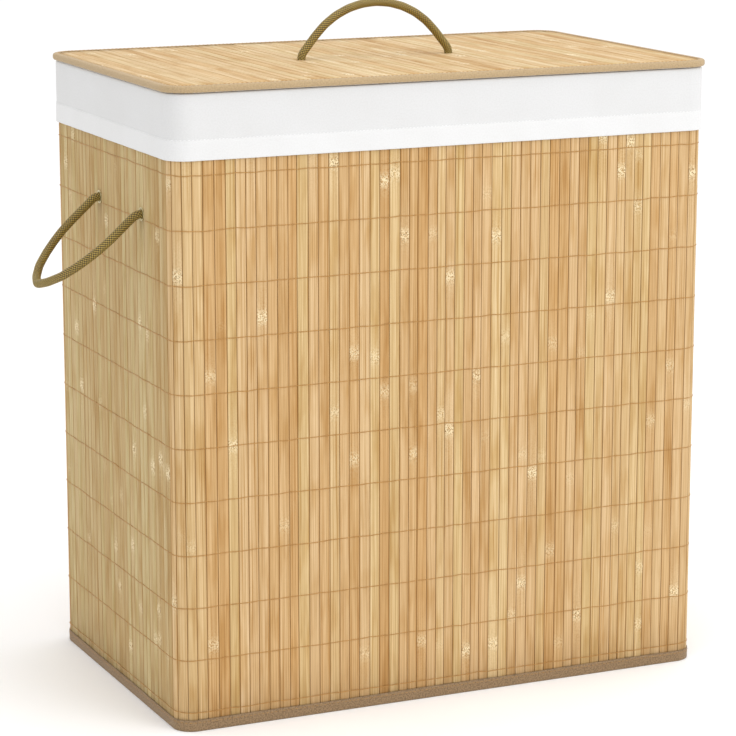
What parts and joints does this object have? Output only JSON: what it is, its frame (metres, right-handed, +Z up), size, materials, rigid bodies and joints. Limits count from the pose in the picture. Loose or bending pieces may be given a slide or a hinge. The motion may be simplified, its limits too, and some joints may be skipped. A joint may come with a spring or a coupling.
{
  "type": "laundry hamper",
  "caption": "Tall rectangular bamboo-slat laundry hamper with a hinged lid, a white cloth liner folded over the rim, and rope handles on the lid and both sides.",
  "frame": {"origin": "on the floor, under the middle of the body", "axes": "+X to the right of someone who looks at the front wall, -Y out of the front wall, +Y towards the lid's hinge, +Z up"},
  "size_m": [0.7172, 0.341, 0.6527],
  "materials": {
    "wall_bamboo": "satin",
    "lid_bamboo": "satin",
    "thread": "matte",
    "binding_tape": "woven, matte",
    "white_cloth": "plain weave, matte",
    "lining_cloth": "non-woven, matte",
    "rope": "braided, slight sheen",
    "eyelet_brass": "plated, worn",
    "steel_wire": "zinc plated",
    "fibreboard": "matte"
  },
  "bodies": {
    "hamper": {"front_slats": "wall_bamboo", "back_slats": "wall_bamboo", "left_slats": "wall_bamboo", "right_slats": "wall_bamboo", "corner_slats": "wall_bamboo", "stitch_threads": "thread", "bottom_binding": "binding_tape", "bottom_cloth": "lining_cloth", "base_board": "fibreboard", "top_binding": "binding_tape", "frame_wire_left": "steel_wire", "frame_wire_right": "steel_wire", "frame_joiners": "steel_wire", "liner_floor": "white_cloth", "liner_front": "white_cloth", "liner_back": "white_cloth", "liner_left": "white_cloth", "liner_right": "white_cloth", "liner_cuff": "white_cloth", "left_eyelets": "eyelet_brass", "right_eyelets": "eyelet_brass", "left_rope_knots": "rope", "right_rope_knots": "rope", "hinge_strip_wall": "white_cloth"},
    "lid": {"lid_board": "fibreboard", "lid_slats": "lid_bamboo", "lid_edge_binding": "binding_tape", "lid_underside_cloth": "lining_cloth", "lid_rope_knots": "rope", "hinge_strip_lid": "white_cloth"},
    "lid_handle": {"lid_handle_rope": "rope"},
    "left_handle": {"left_handle_rope": "rope"},
    "right_handle": {"right_handle_rope": "rope"}
  },
  "joints": [
    {"name": "lid_hinge", "type": "hinge", "parent": "hamper", "child": "lid", "pos_m": [0, 0.1705, 0.594], "axis": [-1, 0, 0], "range_deg": [0, 240]},
    {"name": "lid_handle_swing", "type": "hinge", "parent": "lid", "child": "lid_handle", "pos_m": [0, 0, 0.6007], "axis": [1, 0, 0], "range_deg": [-80, 80], "stiffness_Nm_per_rad": 0.08},
    {"name": "left_handle_swing", "type": "hinge", "parent": "hamper", "child": "left_handle", "pos_m": [-0.2775, -0.025, 0.472], "axis": [0, 1, 0], "range_deg": [-44, 116], "stiffness_Nm_per_rad": 0.08},
    {"name": "right_handle_swing", "type": "hinge", "parent": "hamper", "child": "right_handle", "pos_m": [0.2775, 0.025, 0.472], "axis": [0, -1, 0], "range_deg": [-44, 116], "stiffness_Nm_per_rad": 0.08}
  ]
}
